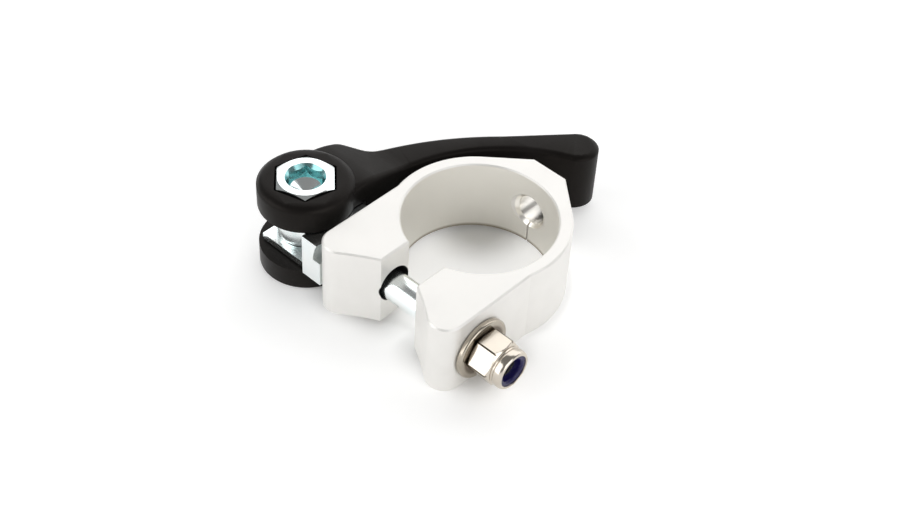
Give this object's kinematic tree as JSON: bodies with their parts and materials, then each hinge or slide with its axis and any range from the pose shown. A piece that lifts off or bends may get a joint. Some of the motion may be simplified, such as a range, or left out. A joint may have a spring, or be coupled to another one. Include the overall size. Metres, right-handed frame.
{
  "type": "seatpost clamp",
  "caption": "Quick-release seatpost clamp: split aluminium collar closed by a forked cam lever, cam shaft, stirrup, eye bolt, washer and self-locking nut.",
  "frame": {"origin": "Centre of the bore, half way up the collar.", "axes": "+Z along the seat tube, +X along the draw bolt towards the nut, +Y towards the boss opposite the slot."},
  "size_m": [0.061, 0.0596, 0.0206],
  "materials": {
    "collar_aluminium": "satin silver anodised",
    "lever_plastic": "satin black moulded",
    "zinc_plate": "bright blue zinc plate",
    "nut_steel": "plain bright steel",
    "nut_nylon": "dark blue nylon"
  },
  "bodies": {
    "clamp": {"clamp_collar": "collar_aluminium", "stirrup": "zinc_plate"},
    "lever": {"lever": "lever_plastic", "cam_shaft": "zinc_plate", "retaining_ring": "zinc_plate"},
    "draw_bolt": {"eye_bolt": "zinc_plate", "flat_washer": "nut_steel"},
    "nut": {"lock_nut": "nut_steel", "nylon_insert": "nut_nylon"}
  },
  "joints": [
    {"name": "lever_swing", "type": "hinge", "parent": "clamp", "child": "lever", "pos_m": [-0.02735, -0.0172, 0], "axis": [0, 0, 1], "range_deg": [0, 180]},
    {"name": "bolt_draw", "type": "slide", "parent": "clamp", "child": "draw_bolt", "axis": [1, 0, 0], "range_m": [0, 0.00162]},
    {"name": "nut_turn", "type": "hinge", "parent": "draw_bolt", "child": "nut", "pos_m": [0.0176, -0.0172, -0.0007], "axis": [1, 0, 0], "continuous": true}
  ],
  "couplings": [
    {"joint": "bolt_draw", "follows": "lever_swing", "m_per_rad": 0.0005093}
  ]
}
